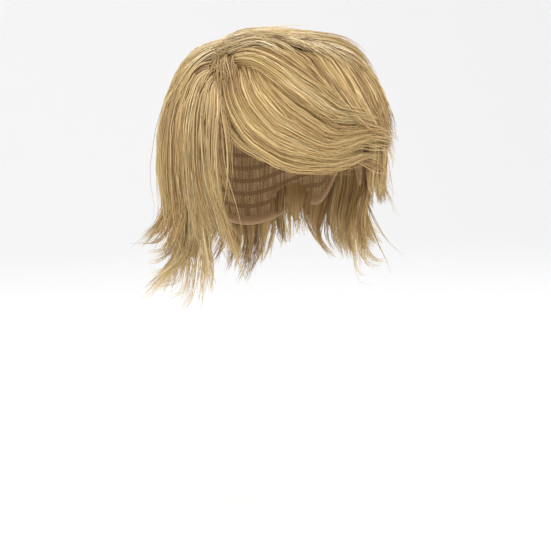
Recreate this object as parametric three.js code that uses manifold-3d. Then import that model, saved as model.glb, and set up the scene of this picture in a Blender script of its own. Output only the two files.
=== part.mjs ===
// A short layered wig with a side parting, a swept fringe and flicked ends, in millimetres, +Z up.
// It is in the shape that it has on a head. The front faces -Y, and the wearer's left is +X.
// The origin is where the top of the head touches the inside of the cap.
// A thin cap carries nine layers of hair. Each layer is one solid: a row of tapering locks, joined
// side by side at their roots into the strip that is sewn to the cap, and loose at their tips.
import * as THREE from "three";
import Module from "manifold-3d";

const wasm = await Module();
wasm.setup();

// Head that the wig fits. It is 56 cm round at its widest level.
const head_width = 154;
const head_depth = 194;
const crown_rise = 100; // from the widest level of the head up to its top
const head_fullness = 2.5; // 2 is an ellipse seen from the front, and more is squarer
const plan_fullness = 2.2; // the same, seen from above

// Cap
const cap_wall = 1.6;
const hollow_kept = 12; // how far inside the cap no hair may reach
const cap_columns = 44;
const cap_rows = 9;

// Hair
const seam_gap = 0.35; // between the cap and the sewn strip, and between one layer and the next
const hair_bulk = 28; // how far the outer layers' undersides stand off the cap, where they are fullest
const hair_drop = 140; // how far the longest locks may hang below the widest level
const lock_thickness = 7; // of a lock along its ridge, where it is fullest
const valley_share = 0.5; // thickness between two locks, as a share of the ridge's
const tip_roundness = 1.7; // 1 is a straight taper, and more is a fuller lock with a shorter point
const tip_width_share = 0.16; // width of a lock's tip, as a share of its own width
const width_scatter = 0.7; // how far the line between two locks may shift, in mean lock widths
const tip_lean_share = 0.34; // how far a tip may lean aside, as a share of its lock's width
const tip_toss = 7; // between the tip that lies deepest and the one that stands off furthest
const tucked_tips = 0.4; // share of the tips that lie under their layer
const shortest_lock = 0.76; // length of the shortest loose end, as a share of the longest
const lock_rows = [0, 0.08, 0.17, 0.27, 0.38, 0.5, 0.64, 0.74, 0.83, 0.92, 1];
const loose_from = 0.64; // share of its length where a lock comes free from its neighbours

// How thick a lock is on its way from root to tip, as shares of its length and of lock_thickness
const LOCK_BODY = [
  { along: 0, thick: 0.4 },
  { along: 0.3, thick: 1 },
  { along: 0.65, thick: 0.95 },
  { along: 1, thick: 0.3 },
];

// The cap's rim. turn is in degrees round the head from the forehead, and drop is in shares of
// the arc from the top of the head to its widest level.
const CAP_RIM = [
  { place: "forehead", turn: 0, drop: 0.58 },
  { place: "hairline corner", turn: 40, drop: 0.61 },
  { place: "temple", turn: 58, drop: 0.76 },
  { place: "ear tab", turn: 74, drop: 1.1 },
  { place: "over the ear", turn: 98, drop: 0.98 },
  { place: "behind the ear", turn: 126, drop: 1.26 },
  { place: "nape", turn: 180, drop: 1.42 },
];

// The layers of hair, from the innermost to the outermost. Each guide is a line that the hair
// follows from its root to its tip. The first and the last are the layer's edges, and the first is
// the one at the left, seen from outside with the roots up.
// turn: degrees round the head from the forehead, positive towards the wearer's left
// drop: shares of the arc from top to widest level, and past 1 shares of hair_drop
// lift: shares of hair_bulk off the cap
const LAYERS = [
  {
    name: "nape_hair",
    locks: 9,
    guides: [
      { turn: [120, 120, 121, 118], drop: [1.02, 1.3, 1.6, 1.92], lift: [0, 0, -0.3, 0.7] },
      { turn: [180, 180, 180, 180], drop: [1.02, 1.3, 1.6, 1.98], lift: [0, -0.05, -0.5, 0.5] },
      { turn: [240, 240, 239, 243], drop: [1.02, 1.3, 1.6, 2], lift: [0, 0, -0.3, 0.8] },
    ],
  },
  {
    name: "right_under_hair",
    locks: 8,
    guides: [
      { turn: [-122, -122, -123, -127], drop: [0.86, 1.15, 1.6, 2.04], lift: [0, 0.25, 0.1, 0.9] },
      { turn: [-92, -92, -94, -99], drop: [0.86, 1.15, 1.55, 1.92], lift: [0, 0.25, 0.1, 0.95] },
      { turn: [-66, -64, -63, -56], drop: [0.9, 1.15, 1.48, 1.8], lift: [0, 0.15, 0.1, 0.35] },
    ],
  },
  {
    name: "left_under_hair",
    locks: 7,
    guides: [
      { turn: [66, 56, 48, 52], drop: [0.92, 1.14, 1.4, 1.66], lift: [0, 0.05, -0.1, 0.1] },
      { turn: [92, 90, 90, 96], drop: [0.88, 1.14, 1.45, 1.72], lift: [0, 0.15, -0.1, 0.55] },
      { turn: [120, 120, 121, 124], drop: [0.86, 1.16, 1.52, 1.86], lift: [0, 0.15, 0, 0.7] },
    ],
  },
  {
    name: "back_hair",
    locks: 12,
    guides: [
      { turn: [116, 118, 120, 118], drop: [0.48, 0.85, 1.2, 1.52], lift: [0, 0.5, 0.5, 1] },
      { turn: [148, 150, 151, 151], drop: [0.42, 0.85, 1.2, 1.6], lift: [0, 0.5, 0.45, 0.95] },
      { turn: [180, 180, 180, 180], drop: [0.42, 0.85, 1.2, 1.64], lift: [0, 0.5, 0.35, 0.9] },
      { turn: [212, 210, 209, 209], drop: [0.4, 0.85, 1.2, 1.6], lift: [0, 0.5, 0.45, 0.95] },
      { turn: [240, 240, 238, 240], drop: [0.44, 0.85, 1.2, 1.56], lift: [0, 0.5, 0.45, 1.1] },
    ],
  },
  {
    name: "left_side_hair",
    locks: 8,
    guides: [
      { turn: [50, 44, 38, 37], drop: [0.56, 0.8, 1.02, 1.22], lift: [0, 0.38, 0.38, 0.3] },
      { turn: [68, 66, 65, 66], drop: [0.5, 0.78, 1.05, 1.3], lift: [0, 0.46, 0.52, 0.5] },
      { turn: [92, 92, 93, 94], drop: [0.48, 0.78, 1.08, 1.38], lift: [0, 0.5, 0.58, 0.62] },
      { turn: [119, 119, 119, 117], drop: [0.48, 0.8, 1.14, 1.48], lift: [0, 0.5, 0.52, 0.9] },
    ],
  },
  {
    name: "right_side_hair",
    locks: 12,
    guides: [
      {
        turn: [-130, -142, -136, -122, -116, -119],
        drop: [0.165, 0.33, 0.62, 1, 1.34, 1.6],
        lift: [0, 0.55, 0.64, 0.74, 0.62, 1.4],
      },
      {
        turn: [-97, -104, -105, -103, -102, -106],
        drop: [0.3, 0.44, 0.7, 1.02, 1.35, 1.62],
        lift: [0, 0.56, 0.64, 0.74, 0.6, 1.5],
      },
      {
        turn: [-75, -81, -82, -81, -79, -80],
        drop: [0.44, 0.56, 0.76, 1.02, 1.34, 1.66],
        lift: [0, 0.48, 0.6, 0.68, 0.56, 1],
      },
      {
        turn: [-60, -56, -51, -50, -45, -31],
        drop: [0.56, 0.65, 0.8, 1, 1.3, 1.72],
        lift: [0, 0.34, 0.46, 0.46, 0.4, 0.2],
      },
    ],
  },
  {
    name: "fringe",
    locks: 10,
    guides: [
      {
        turn: [-62, -51, -42, -29, -8, 18, 50],
        drop: [0.52, 0.69, 0.83, 0.94, 1.01, 1, 1],
        lift: [0, 0.3, 0.36, 0.4, 0.42, 0.5, 0.8],
      },
      {
        turn: [-53, -42, -36, -28, -14, 10, 52],
        drop: [0.43, 0.52, 0.65, 0.77, 0.88, 0.95, 0.98],
        lift: [0, 0.26, 0.36, 0.42, 0.46, 0.56, 0.84],
      },
      {
        turn: [-42, -26, -17, -9, 2, 18, 55],
        drop: [0.38, 0.45, 0.55, 0.65, 0.76, 0.86, 0.94],
        lift: [0, 0.24, 0.36, 0.44, 0.5, 0.62, 0.88],
      },
    ],
  },
  {
    name: "top_sweep",
    locks: 12,
    guides: [
      {
        turn: [-70, -50, -33, -20, -7, 10, 50],
        drop: [0.46, 0.47, 0.51, 0.61, 0.73, 0.84, 0.95],
        lift: [0, 0.26, 0.44, 0.56, 0.64, 0.74, 0.94],
      },
      {
        turn: [-76, -48, -26, -10, 2, 18, 52],
        drop: [0.41, 0.36, 0.42, 0.53, 0.66, 0.8, 0.94],
        lift: [0, 0.34, 0.5, 0.6, 0.66, 0.76, 0.94],
      },
      {
        turn: [-28, -12, -1, 6, 14, 28, 54],
        drop: [0.28, 0.38, 0.51, 0.64, 0.76, 0.87, 0.95],
        lift: [0, 0.44, 0.54, 0.6, 0.66, 0.74, 0.92],
      },
      {
        turn: [2, 9, 12, 16, 22, 34, 56],
        drop: [0.31, 0.43, 0.56, 0.69, 0.8, 0.89, 0.97],
        lift: [0, 0.46, 0.54, 0.6, 0.66, 0.74, 0.88],
      },
      {
        turn: [28, 32, 35, 37, 40, 47, 62],
        drop: [0.35, 0.46, 0.58, 0.7, 0.81, 0.91, 0.99],
        lift: [0, 0.5, 0.6, 0.66, 0.7, 0.76, 0.84],
      },
      {
        turn: [64, 66, 67, 68, 70, 73, 78],
        drop: [0.42, 0.52, 0.63, 0.73, 0.83, 0.92, 1],
        lift: [0, 0.52, 0.62, 0.68, 0.72, 0.76, 0.82],
      },
    ],
  },
  {
    name: "crown_hair",
    locks: 16,
    guides: [
      {
        turn: [-82, -50, 4, 37, 66],
        drop: [0.37, 0.28, 0.32, 0.44, 0.65],
        lift: [0.1, 0.42, 0.56, 0.74, 0.9],
      },
      {
        turn: [-100, -150, 98, 98, 102],
        drop: [0.27, 0.08, 0.2, 0.48, 0.8],
        lift: [0, 0.34, 0.5, 0.75, 0.85],
      },
      {
        turn: [-112, -175, 165, 150, 142],
        drop: [0.2, 0.2, 0.36, 0.62, 0.94],
        lift: [0, 0.42, 0.6, 0.75, 0.78],
      },
      {
        turn: [-118, -170, 178, 176, 176],
        drop: [0.17, 0.25, 0.45, 0.7, 1],
        lift: [0, 0.45, 0.65, 0.78, 0.8],
      },
      {
        turn: [-126, -147, -140, -134, -131],
        drop: [0.16, 0.34, 0.56, 0.8, 1.04],
        lift: [0, 0.52, 0.68, 0.8, 0.84],
      },
    ],
  },
];

const COLOURS = { cap: 0xc9ab82, hair: 0xb9935a };
const ROUGHNESS = { cap: 0.9, hair: 0.5 };

const degrees = Math.PI / 180;
const power = (value, share) => Math.sign(value) * Math.abs(value) ** share;

// A number between 0 and 1 that is always the same for one trait of one lock.
const TRAITS = { width: 0.1, length: 0.3, lean: 0.6, toss: 0.9 };
const most_locks = 31; // more than any layer has
function chance(index, lock, trait) {
  const wave = Math.sin((most_locks * index + lock + TRAITS[trait]) * 12.9898) * 43758.5453;
  return wave - Math.floor(wave);
}

// Where a layer's locks meet, as shares of the way across it. Locks aren't all as wide.
function lockEdges(count, index) {
  return Array.from({ length: count + 1 }, (_, i) => {
    const inner = i > 0 && i < count;
    return (i + (inner ? width_scatter * (chance(index, i, "width") - 0.5) : 0)) / count;
  });
}

// The value of a table's column at a place between its rows, which are joined by a smooth curve.
function fromTable(rows, key, column, at) {
  const last = rows.length - 1;
  let i = 0;
  while (i < last - 1 && at > rows[i + 1][key]) i += 1;
  const share = (at - rows[i][key]) / (rows[i + 1][key] - rows[i][key]);
  const eased = share * share * (3 - 2 * share);
  return rows[i][column] + (rows[i + 1][column] - rows[i][column]) * eased;
}

// A point on the head or off it. polar is the angle down from the top, up to 90 degrees at the
// widest level, and fall is how far the point hangs below that.
function nearHead(turn, polar, lift, fall) {
  const out = power(Math.sin(polar), 2 / head_fullness);
  const up = power(Math.cos(polar), 2 / head_fullness);
  return new THREE.Vector3(
    (head_width / 2 + lift) * out * power(Math.sin(turn * degrees), 2 / plan_fullness),
    -(head_depth / 2 + lift) * out * power(Math.cos(turn * degrees), 2 / plan_fullness),
    -crown_rise + (crown_rise + lift) * up - fall,
  );
}

// The cap and all that is under it follow the head down to the nape.
function onCap(turn, drop, lift) {
  return nearHead(turn, (drop * Math.PI) / 2, lift, 0);
}

// Hair follows the head down to its widest level and hangs from there.
function inHair(turn, drop, lift) {
  const polar = (Math.min(drop, 1) * Math.PI) / 2;
  return nearHead(turn, polar, lift, Math.max(drop - 1, 0) * hair_drop);
}

// Hair flows in straight lines and smooth curves on a flat map of the head seen from above.
const hang_on_map = 0.6; // how long a hanging stretch is on that map
function toMap(turn, drop, lift) {
  const reach = drop < 1 ? drop : 1 + (drop - 1) * hang_on_map;
  return new THREE.Vector3(
    reach * Math.sin(turn * degrees),
    -reach * Math.cos(turn * degrees),
    lift * hair_bulk,
  );
}

function fromMap(place, more_lift) {
  const reach = Math.hypot(place.x, place.y);
  const drop = reach < 1 ? reach : 1 + (reach - 1) / hang_on_map;
  const turn = Math.atan2(place.x, -place.y) / degrees;
  return inHair(turn, drop, cap_wall + seam_gap + place.z + more_lift);
}

// A smooth curve through a row of places, at a share of its length.
function along(places, share) {
  if (places.length === 2) return places[0].clone().lerp(places[1], share);
  const spans = places.length - 1;
  const i = Math.min(Math.floor(share * spans), spans - 1);
  const t = share * spans - i;
  const before = i > 0 ? places[i - 1] : places[0].clone().multiplyScalar(2).sub(places[1]);
  const beyond = i + 2 <= spans
    ? places[i + 2]
    : places[spans].clone().multiplyScalar(2).sub(places[spans - 1]);
  const leave = places[i + 1].clone().sub(before).divideScalar(2);
  const arrive = beyond.clone().sub(places[i]).divideScalar(2);
  return new THREE.Vector3()
    .addScaledVector(places[i], 2 * t ** 3 - 3 * t ** 2 + 1)
    .addScaledVector(leave, t ** 3 - 2 * t ** 2 + t)
    .addScaledVector(places[i + 1], 3 * t ** 2 - 2 * t ** 3)
    .addScaledVector(arrive, t ** 3 - t ** 2);
}

// The point of a layer at a share across it and a share along it.
function inLayer(layer, across, share, more_lift) {
  const stations = layer.guides[0].turn.map((_, k) =>
    along(
      layer.guides.map((g) => toMap(g.turn[k], g.drop[k], g.lift[k])),
      across,
    ),
  );
  return fromMap(along(stations, share), more_lift);
}

function solidOf(points, triangles) {
  return new wasm.Manifold(
    new wasm.Mesh({
      numProp: 3,
      vertProperties: new Float32Array(points),
      triVerts: new Uint32Array(triangles),
    }),
  );
}

// One layer of hair as a row of locks. grow makes it that much larger all round.
function locksOf(layer, index, grow) {
  const points = [];
  const triangles = [];
  const add = (p) => points.push(p.x, p.y, p.z) / 3 - 1;
  const count = layer.locks;
  const edges = lockEdges(count, index);
  const first_loose = lock_rows.findIndex((share) => share > loose_from);

  // The five corners of a lock's section: left, ridge and right outside, right and left inside.
  function section(lock, row, shared_left) {
    const share = lock_rows[row];
    const loose = Math.max(share - loose_from, 0) / (1 - loose_from);
    const length = shortest_lock + (1 - shortest_lock) * chance(index, lock, "length");
    const at = loose > 0 ? loose_from + (share - loose_from) * length : share;
    const width = edges[lock + 1] - edges[lock];
    const lean = loose * loose * tip_lean_share * (2 * chance(index, lock, "lean") - 1);
    const middle = (edges[lock] + edges[lock + 1]) / 2 + lean * width;
    const half = (width / 2) * (1 - (1 - tip_width_share) * loose ** tip_roundness);
    const thick = lock_thickness * fromTable(LOCK_BODY, "along", "thick", share);
    const toss = loose * loose * tip_toss * (chance(index, lock, "toss") - tucked_tips);
    const corner = (side, height, growth) =>
      inLayer(layer, middle + side * half, at, toss + height * thick + growth);
    const outer_left = corner(-1, valley_share, grow);
    const ridge = corner(0, 1, grow);
    const outer_right = corner(1, valley_share, grow);
    const inner_right = corner(1, 0, -grow);
    const inner_left = corner(-1, 0, -grow);
    const aside = outer_right.clone().sub(outer_left).normalize().multiplyScalar(grow);
    if (loose > 0 || lock === count - 1) {
      outer_right.add(aside);
      inner_right.add(aside);
    }
    if (loose > 0 || lock === 0) {
      outer_left.sub(aside);
      inner_left.sub(aside);
    }
    const made = [outer_left, ridge, outer_right, inner_right, inner_left];
    const inward = { 0: 1, [lock_rows.length - 1]: -1 }[row]; // from an end, towards the middle
    if (inward) {
      const further = inLayer(layer, middle, at + inward / 100, toss + thick + grow);
      const outward = ridge.clone().sub(further).normalize().multiplyScalar(grow);
      made.forEach((p) => p.add(outward));
    }
    if (loose > 0 || !shared_left) return made.map(add);
    return [shared_left[2], add(ridge), add(outer_right), add(inner_right), shared_left[3]];
  }

  let left = null;
  for (let lock = 0; lock < count; lock += 1) {
    const rings = lock_rows.map((_, row) =>
      section(lock, row, left && row < first_loose ? left[row] : null),
    );
    for (let row = 0; row < rings.length - 1; row += 1) {
      for (let side = 0; side < 5; side += 1) {
        const next = (side + 1) % 5;
        const joined = row < first_loose - 1;
        if (joined && side === 2 && lock < count - 1) continue;
        if (joined && side === 4 && lock > 0) continue;
        const [a, b] = [rings[row][side], rings[row + 1][side]];
        const [c, d] = [rings[row + 1][next], rings[row][next]];
        triangles.push(a, b, c, a, c, d);
      }
    }
    const [root, tip] = [rings[0], rings[rings.length - 1]];
    for (const k of [1, 2, 3]) {
      triangles.push(root[0], root[k], root[k + 1]);
      triangles.push(tip[0], tip[k + 1], tip[k]);
    }
    left = rings;
  }
  return solidOf(points, triangles);
}

// A closed wall between two heights off the head, from the top down to the cap's rim.
function domeWall(inside, outside, past_rim) {
  const points = [];
  const triangles = [];
  const rim = (turn) => fromTable(CAP_RIM, "turn", "drop", Math.abs(turn)) + past_rim;
  for (const lift of [inside, outside]) {
    const top = onCap(0, 0, lift);
    points.push(top.x, top.y, top.z);
    for (let row = 1; row <= cap_rows; row += 1) {
      for (let column = 0; column < cap_columns; column += 1) {
        const turn = -180 + (360 * column) / cap_columns;
        const p = onCap(turn, (rim(turn) * row) / cap_rows, lift);
        points.push(p.x, p.y, p.z);
      }
    }
  }
  const sheet = 1 + cap_rows * cap_columns;
  const at = (side, row, column) =>
    side * sheet + (row ? 1 + (row - 1) * cap_columns + (column % cap_columns) : 0);
  for (let column = 0; column < cap_columns; column += 1) {
    for (const side of [0, 1]) {
      const face = (a, b, c) => triangles.push(...(side ? [a, b, c] : [a, c, b]));
      face(at(side, 0, 0), at(side, 1, column), at(side, 1, column + 1));
      for (let row = 1; row < cap_rows; row += 1) {
        const [a, b] = [at(side, row, column), at(side, row + 1, column)];
        const [c, d] = [at(side, row + 1, column + 1), at(side, row, column + 1)];
        face(a, b, c);
        face(a, c, d);
      }
    }
    const [a, b] = [at(1, cap_rows, column), at(0, cap_rows, column)];
    const [c, d] = [at(0, cap_rows, column + 1), at(1, cap_rows, column + 1)];
    triangles.push(a, b, c, a, c, d);
  }
  return solidOf(points, triangles);
}

// Of what a cut leaves, the body that holds nearly all of it.
function mainBody(solid) {
  const bodies = solid.decompose();
  return bodies.reduce((best, body) => (body.volume() > best.volume() ? body : best));
}

function meshOf(name, solid, colour, roughness) {
  const made = solid.getMesh();
  const geometry = new THREE.BufferGeometry();
  const places = new Float32Array(made.numVert * 3);
  for (let i = 0; i < made.numVert; i += 1) {
    const start = i * made.numProp;
    places.set(made.vertProperties.subarray(start, start + 3), i * 3);
  }
  geometry.setAttribute("position", new THREE.BufferAttribute(places, 3));
  geometry.setIndex(new THREE.BufferAttribute(new Uint32Array(made.triVerts), 1));
  geometry.computeVertexNormals();
  const material = new THREE.MeshStandardMaterial({ color: colour, roughness, metalness: 0 });
  const mesh = new THREE.Mesh(geometry, material);
  mesh.name = name;
  return mesh;
}

const wig = new THREE.Group();
wig.name = "wig";
wig.add(meshOf("cap", domeWall(0, cap_wall, 0), COLOURS.cap, ROUGHNESS.cap));

// Each layer is cut back where it would enter the cap or a layer under it.
const rim_margin = 0.01; // past the rim, in the rim table's drop
const taken = [domeWall(-hollow_kept, cap_wall + seam_gap, rim_margin)];
LAYERS.forEach((layer, index) => {
  const trimmed = taken.reduce((solid, cut) => solid.subtract(cut), locksOf(layer, index, 0));
  wig.add(meshOf(layer.name, mainBody(trimmed), COLOURS.hair, ROUGHNESS.hair));
  taken.push(locksOf(layer, index, seam_gap));
});

export default wig;
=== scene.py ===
import math
import random

import bpy
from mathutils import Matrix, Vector


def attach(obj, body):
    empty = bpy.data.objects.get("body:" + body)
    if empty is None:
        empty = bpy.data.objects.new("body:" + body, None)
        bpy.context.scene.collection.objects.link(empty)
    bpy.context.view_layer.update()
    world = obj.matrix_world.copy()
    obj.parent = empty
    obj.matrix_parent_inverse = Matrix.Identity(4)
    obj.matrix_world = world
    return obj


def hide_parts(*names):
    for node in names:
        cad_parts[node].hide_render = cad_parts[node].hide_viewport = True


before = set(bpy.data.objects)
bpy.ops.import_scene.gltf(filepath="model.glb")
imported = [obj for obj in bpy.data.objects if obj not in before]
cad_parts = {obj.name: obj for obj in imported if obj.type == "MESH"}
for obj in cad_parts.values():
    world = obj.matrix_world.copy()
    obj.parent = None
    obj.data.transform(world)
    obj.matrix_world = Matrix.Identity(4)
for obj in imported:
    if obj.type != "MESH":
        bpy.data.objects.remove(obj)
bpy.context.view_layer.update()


# Cap. A thin stretch net in a flesh brown, cut to follow the head, with rows of tape that the
# hair is sewn to and a soft band folded over its rim. The hair covers it, and only its inside
# shows, through the open face and from below.
head_width = 0.154
head_depth = 0.194
crown_rise = 0.1  # from the widest level of the head up to its top
head_fullness = 2.5  # 2 is an ellipse seen from the front, and more is squarer
plan_fullness = 2.2  # the same, seen from above
cap_wall = 0.0016
rim_band = 0.009  # width of the folded band
rim_band_swell = 0.0007
tape_pitch = 0.0125
tape_swell = 0.0006
tape_half_width = (0.12, 0.2)  # at its top and at its foot, in shares of the pitch
band_foot = 0.002
rim_round = 0.0015  # how far in from its edge the rim is rounded
net_pitch = 0.0016
stitch_pitch = 0.0022
streaks_across = 700  # streaks per metre in the hair seen through the net
streaks_down = 30
net_colour = (0.5, 0.33, 0.19)
tape_colour = (0.3, 0.18, 0.09)
band_colour = (0.42, 0.27, 0.15)
hair_behind_dark = (0.2, 0.11, 0.045)  # the hair on the far side, seen through the net
hair_behind_light = (0.56, 0.4, 0.2)

# The rim: degrees round the head from the forehead, and how far down it lies, in shares of the
# arc from the top of the head to its widest level.
CAP_RIM = [(0, 0.58), (40, 0.61), (58, 0.76), (74, 1.1), (98, 0.98), (126, 1.26), (180, 1.42)]


class Wire:
    """A value in a node tree. Sums and products with it add the nodes that work them out."""

    def __init__(self, tree, socket=None):
        self.tree = tree
        self.socket = socket

    def add(self, kind, settings=None, inputs=None, output=0):
        """Adds a node of any kind, sets it, feeds its sockets and gives one of its outputs."""
        node = self.tree.nodes.new(kind)
        for name, value in (settings or {}).items():
            if name == "stops":
                ramp = node.color_ramp
                while len(ramp.elements) < len(value):
                    ramp.elements.new(1)
                for element, (place, colour) in zip(ramp.elements, value):
                    element.position = place
                    element.color = (*colour, 1)
            else:
                setattr(node, name, value)
        for name, value in (inputs or {}).items():
            if isinstance(value, Wire):
                self.tree.links.new(value.socket, node.inputs[name])
            else:
                node.inputs[name].default_value = value
        return Wire(self.tree, node.outputs[output])

    def is_vector(self):
        return self.socket.type == "VECTOR"

    def maths(self, operation, first, second=0.0):
        wires = [v for v in (first, second) if isinstance(v, Wire)]
        if operation in ("ADD", "SUBTRACT") and any(w.is_vector() for w in wires):
            return self.add("ShaderNodeVectorMath", {"operation": operation}, {0: first, 1: second})
        if operation == "MULTIPLY" and wires[0].is_vector():
            scale = {0: wires[0], 3: second if first is wires[0] else first}
            return self.add("ShaderNodeVectorMath", {"operation": "SCALE"}, scale)
        if operation == "MULTIPLY" and wires[-1].is_vector():
            scale = {0: wires[-1], 3: first}
            return self.add("ShaderNodeVectorMath", {"operation": "SCALE"}, scale)
        return self.add("ShaderNodeMath", {"operation": operation}, {0: first, 1: second})

    def __add__(self, other):
        return self.maths("ADD", self, other)

    def __radd__(self, other):
        return self.maths("ADD", other, self)

    def __sub__(self, other):
        return self.maths("SUBTRACT", self, other)

    def __rsub__(self, other):
        return self.maths("SUBTRACT", other, self)

    def __mul__(self, other):
        return self.maths("MULTIPLY", self, other)

    def __rmul__(self, other):
        return self.maths("MULTIPLY", other, self)

    def __truediv__(self, other):
        return self.maths("DIVIDE", self, other)

    def __pow__(self, other):
        return self.maths("POWER", self, other)

    def __gt__(self, other):
        return self.maths("GREATER_THAN", self, other)

    def __lt__(self, other):
        return self.maths("LESS_THAN", self, other)

    def whole(self):
        return self.maths("FLOOR", self)

    def rest(self):
        return self.maths("FRACT", self)

    def sine(self):
        return self.maths("SINE", self)

    def cosine(self):
        return self.maths("COSINE", self)

    def between(self, low, high):
        """0 below low, 1 above high, with a soft step from one to the other."""
        return self.add(
            "ShaderNodeMapRange",
            {"interpolation_type": "SMOOTHSTEP"},
            {"Value": self, "From Min": low, "From Max": high},
        )

    def mix(self, first, second):
        """One colour where this is 0, and another where it is 1."""
        colours = {}
        for place, colour in (("A", first), ("B", second)):
            colours[place] = colour if isinstance(colour, Wire) else (*colour, 1)
        return self.add(
            "ShaderNodeMix",
            {"data_type": "RGBA", "clamp_factor": True},
            {0: self, 6: colours["A"], 7: colours["B"]},
            output=2,
        )


def power(value, share):
    return math.copysign(abs(value) ** share, value)


def near_head(turn, polar, lift, fall=0.0):
    """A place off the head. polar is the angle down from its top, and fall hangs it lower."""
    out = power(math.sin(polar), 2 / head_fullness)
    up = power(math.cos(polar), 2 / head_fullness)
    angle = math.radians(turn)
    return Vector((
        (head_width / 2 + lift) * out * power(math.sin(angle), 2 / plan_fullness),
        -(head_depth / 2 + lift) * out * power(math.cos(angle), 2 / plan_fullness),
        -crown_rise + (crown_rise + lift) * up - fall,
    ))


def smooth_step(value, low, high):
    share = min(max((value - low) / (high - low), 0), 1)
    return share * share * (3 - 2 * share)


def eased(rows, place):
    """Goes in soft steps from each row's value to the next one's."""
    i = max(k for k in range(len(rows) - 1) if k == 0 or place > rows[k][0])
    (low, first), (high, second) = rows[i], rows[i + 1]
    return first + (second - first) * smooth_step(place, low, high)


def shown_mesh(name, places, faces, material):
    mesh = bpy.data.meshes.new(name)
    mesh.from_pydata(places, [], faces)
    mesh.shade_smooth()
    mesh.materials.append(material)
    piece = bpy.data.objects.new(name, mesh)
    bpy.context.collection.objects.link(piece)
    return piece


def plain_material(name, roughness):
    """A new material with its shader, and a wire to start its colours from."""
    material = bpy.data.materials.new(name)
    material.use_nodes = True
    shader = material.node_tree.nodes["Principled BSDF"]
    shader.inputs["Roughness"].default_value = roughness
    return material, shader, Wire(material.node_tree)


def colour_by(shader, colour):
    colour.tree.links.new(colour.socket, shader.inputs["Base Color"])


def noise_over(lay, detail):
    settings = {"noise_dimensions": "2D"}
    return lay.add("ShaderNodeTexNoise", settings, {"Vector": lay, "Scale": 1.0, "Detail": detail})


def cap_material():
    material, shader, start = plain_material("stretch net", 0.85)
    down = start.add("ShaderNodeAttribute", {"attribute_name": "down"}, output=2)
    below = start.add("ShaderNodeAttribute", {"attribute_name": "to_rim"}, output=2)
    across = start.add("ShaderNodeAttribute", {"attribute_name": "across"}, output=2)
    row = (below / tape_pitch).rest()
    tape = 1 - ((row - 0.5) * (row - 0.5)).between(0.02, 0.04)
    band = 1 - below.between(rim_band * 0.9, rim_band)
    thread = ((across / stitch_pitch * math.tau).sine() * 0.5 + 0.5) * tape
    mesh_lines = (across / net_pitch * math.pi).sine() * (down / net_pitch * math.pi).sine()
    lay = start.add(
        "ShaderNodeCombineXYZ", {}, {"X": across * streaks_across, "Y": down * streaks_down}
    )
    behind = noise_over(lay, 3.0).between(0.36, 0.66).mix(hair_behind_dark, hair_behind_light)
    net = (mesh_lines * 0.3 + 0.3).mix(behind, net_colour)
    taped = (tape * 0.85).mix(net, tape_colour)
    sewn = (thread * 0.3).mix(taped, tuple(c * 0.45 for c in tape_colour))
    colour_by(shader, band.mix(sewn, band_colour))
    bump = start.add(
        "ShaderNodeBump", {}, {"Strength": 0.4, "Distance": 0.0004, "Height": mesh_lines + thread}
    )
    start.tree.links.new(bump.socket, shader.inputs["Normal"])
    shader.inputs["Specular IOR Level"].default_value = 0.2
    return material


def make_cap():
    columns, rows = 96, 48
    places, faces, down, to_rim, across = [], [], [], [], []
    for side in (0, 1):
        for column in range(columns + 1):
            turn = -180 + 360 * column / columns
            rim = eased(CAP_RIM, abs(turn))
            plain = [near_head(turn, rim * r / rows * math.pi / 2, 0) for r in range(rows + 1)]
            lengths = [0.0]
            for first, second in zip(plain, plain[1:]):
                lengths.append(lengths[-1] + (second - first).length)
            for r in range(rows + 1):
                left = lengths[-1] - lengths[r]
                swell = rim_band_swell * (1 - smooth_step(left, rim_band - band_foot, rim_band))
                if left < rim_round:
                    swell -= (cap_wall / 2) * (1 - left / rim_round)
                part = (left / tape_pitch) % 1 - 0.5
                if left > rim_band:
                    tape = 1 - smooth_step(abs(part), *tape_half_width)
                    swell += tape_swell * tape * (1 - side)
                lift = cap_wall + swell if side else -swell
                places.append(near_head(turn, rim * r / rows * math.pi / 2, lift))
                down.append(lengths[r])
                to_rim.append(left)
                across.append(math.radians(turn) * head_width / 2)
    sheet = (columns + 1) * (rows + 1)
    for side in (0, 1):
        for column in range(columns):
            for r in range(rows):
                a = side * sheet + column * (rows + 1) + r
                corners = [a, a + 1, a + rows + 2, a + rows + 1]
                faces.append(corners if side else corners[::-1])
    for column in range(columns):
        a = column * (rows + 1) + rows
        b = a + rows + 1
        faces.append([a, b, b + sheet, a + sheet])
    piece = shown_mesh("wig_cap", places, faces, cap_material())
    for name, values in (("down", down), ("to_rim", to_rim), ("across", across)):
        attribute = piece.data.attributes.new(name, "FLOAT", "POINT")
        attribute.data.foreach_set("value", values)
    return piece


wig_cap = make_cap()
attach(wig_cap, "root")
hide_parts("cap")


# Nape hair. The lowest rows at the back of the neck: synthetic fibre, sewn to the cap in a strip
# and cut in layers, so that it hangs in flat pointed locks whose ends flick out.
seam_gap = 0.00035  # between the cap and the sewn strip
hair_bulk = 0.028  # how far the outer layers stand off the cap, where they are fullest
hair_drop = 0.14  # how far the longest locks may hang below the widest level
lock_thickness = 0.0075
valley_share = 0.5  # thickness between two locks, as a share of that at a lock's middle
tip_roundness = 1.7
tip_width_share = 0.16
width_scatter = 0.7
tip_lean_share = 0.34
tip_toss = 0.007
tucked_tips = 0.4
shortest_lock = 0.76
loose_from = 0.64  # share of its length where a lock comes free from its neighbours
hang_on_map = 0.6  # how much a step down counts on the map, once the hair hangs free
LOCK_BODY = [(0, 0.4), (0.3, 1), (0.65, 0.95), (1, 0.3)]  # share of the length, share of thickness
TRAITS = {"width": 0.1, "length": 0.3, "lean": 0.6, "toss": 0.9}
most_locks = 31
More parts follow.
